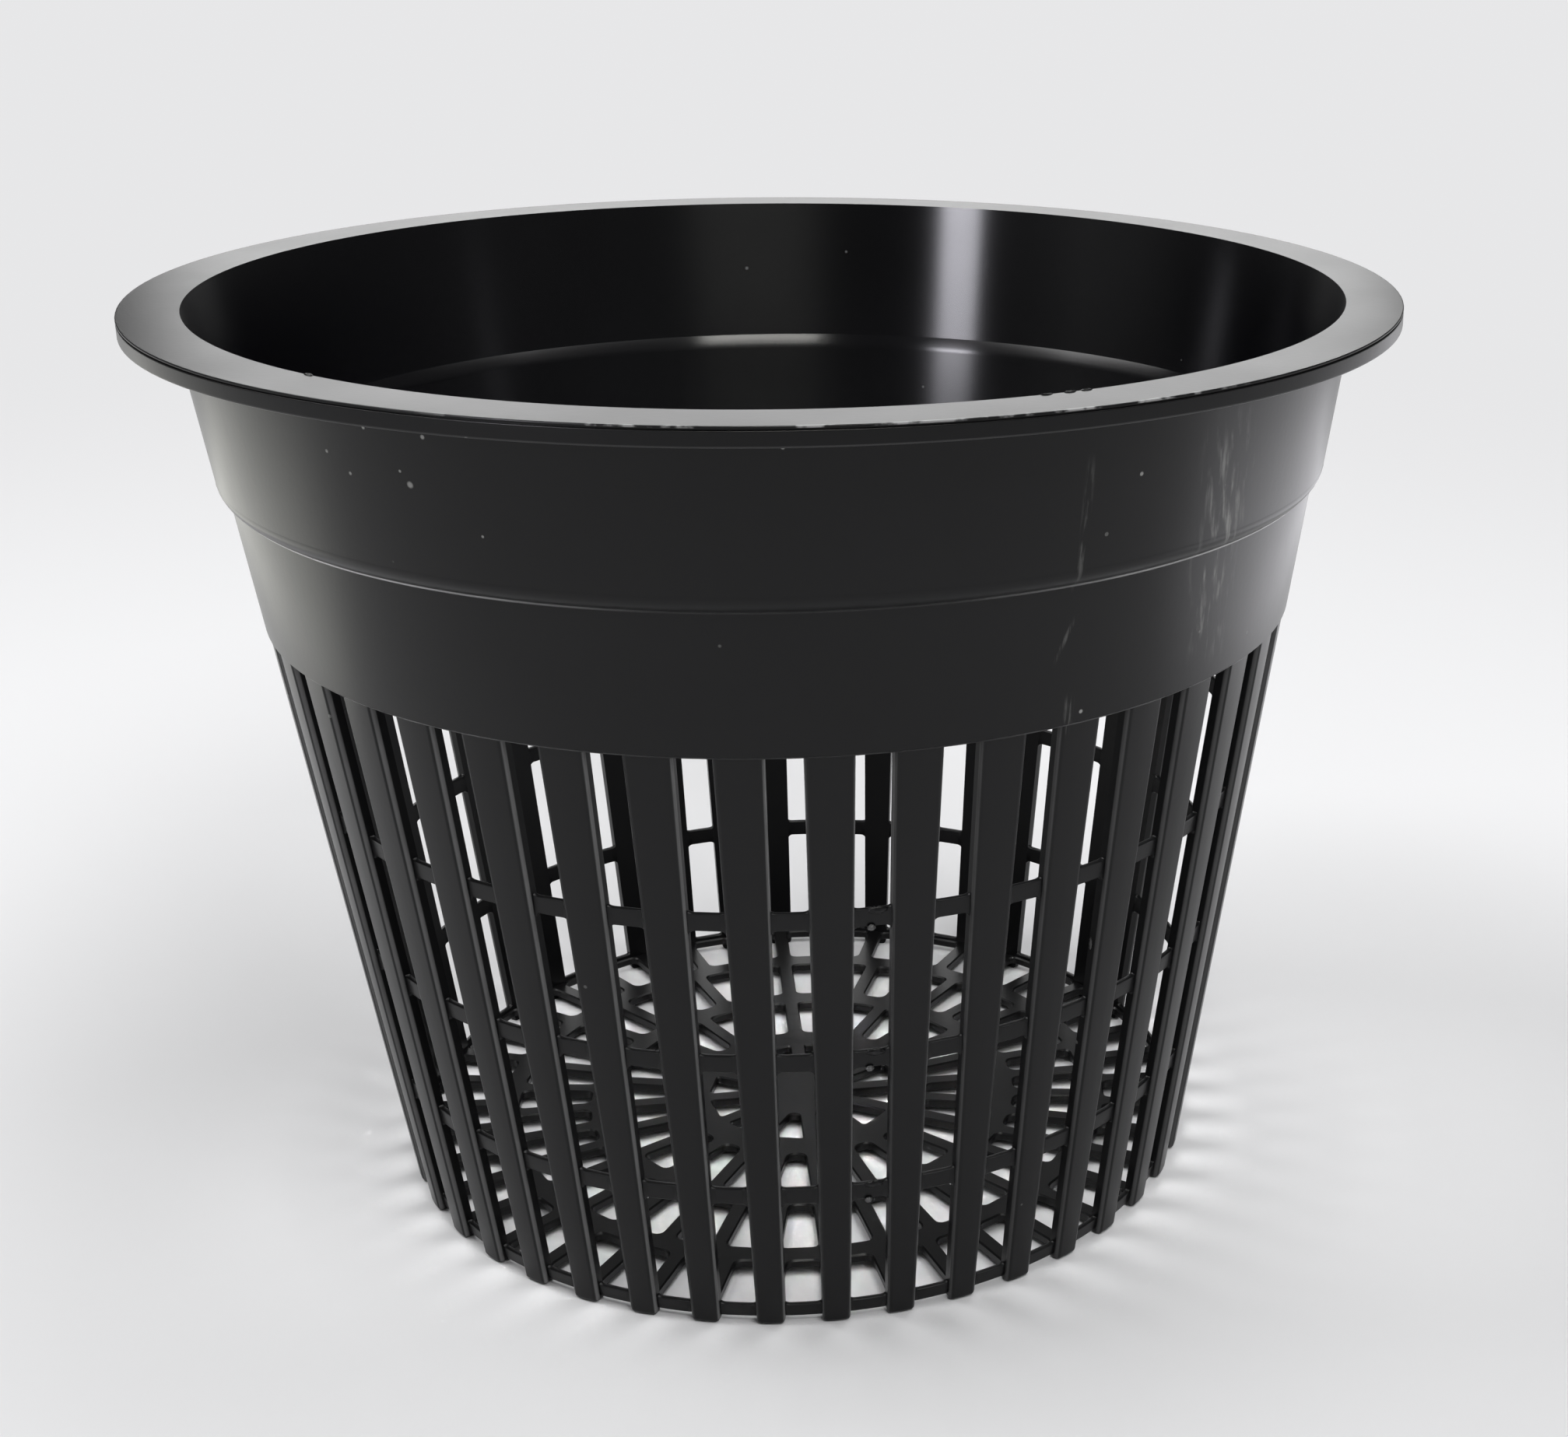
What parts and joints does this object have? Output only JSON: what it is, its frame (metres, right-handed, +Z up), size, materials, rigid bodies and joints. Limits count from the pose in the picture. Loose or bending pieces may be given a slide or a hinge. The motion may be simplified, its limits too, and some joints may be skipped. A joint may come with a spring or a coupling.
{
  "type": "net pot",
  "caption": "Round tapered net pot in black plastic: flat carrying rim, plain upper bands, slotted cage wall and an open spoked floor.",
  "frame": {"origin": "centre of the base at the level the feet stand on", "axes": "+Z up along the pot's axis, -Y towards the front slat"},
  "size_m": [0.15, 0.15, 0.113],
  "materials": {
    "black_plastic": "satin"
  },
  "bodies": {
    "root": {"rim_flange": "black_plastic", "upper_band": "black_plastic", "shoulder": "black_plastic", "lower_band": "black_plastic", "base_ring": "black_plastic", "hoop_1": "black_plastic", "hoop_2": "black_plastic", "hoop_3": "black_plastic", "slat_01": "black_plastic", "slat_02": "black_plastic", "slat_03": "black_plastic", "slat_04": "black_plastic", "slat_05": "black_plastic", "slat_06": "black_plastic", "slat_07": "black_plastic", "slat_08": "black_plastic", "slat_09": "black_plastic", "slat_10": "black_plastic", "slat_11": "black_plastic", "slat_12": "black_plastic", "slat_13": "black_plastic", "slat_14": "black_plastic", "slat_15": "black_plastic", "slat_16": "black_plastic", "slat_17": "black_plastic", "slat_18": "black_plastic", "slat_19": "black_plastic", "slat_20": "black_plastic", "slat_21": "black_plastic", "slat_22": "black_plastic", "slat_23": "black_plastic", "slat_24": "black_plastic", "slat_25": "black_plastic", "slat_26": "black_plastic", "slat_27": "black_plastic", "slat_28": "black_plastic", "slat_29": "black_plastic", "slat_30": "black_plastic", "slat_31": "black_plastic", "slat_32": "black_plastic", "slat_33": "black_plastic", "slat_34": "black_plastic", "slat_35": "black_plastic", "slat_36": "black_plastic", "slat_37": "black_plastic", "slat_38": "black_plastic", "slat_39": "black_plastic", "slat_40": "black_plastic", "slat_41": "black_plastic", "slat_42": "black_plastic", "floor_hub": "black_plastic", "floor_ring_inner": "black_plastic", "floor_ring_middle": "black_plastic", "floor_ring_outer": "black_plastic"}
  },
  "joints": []
}
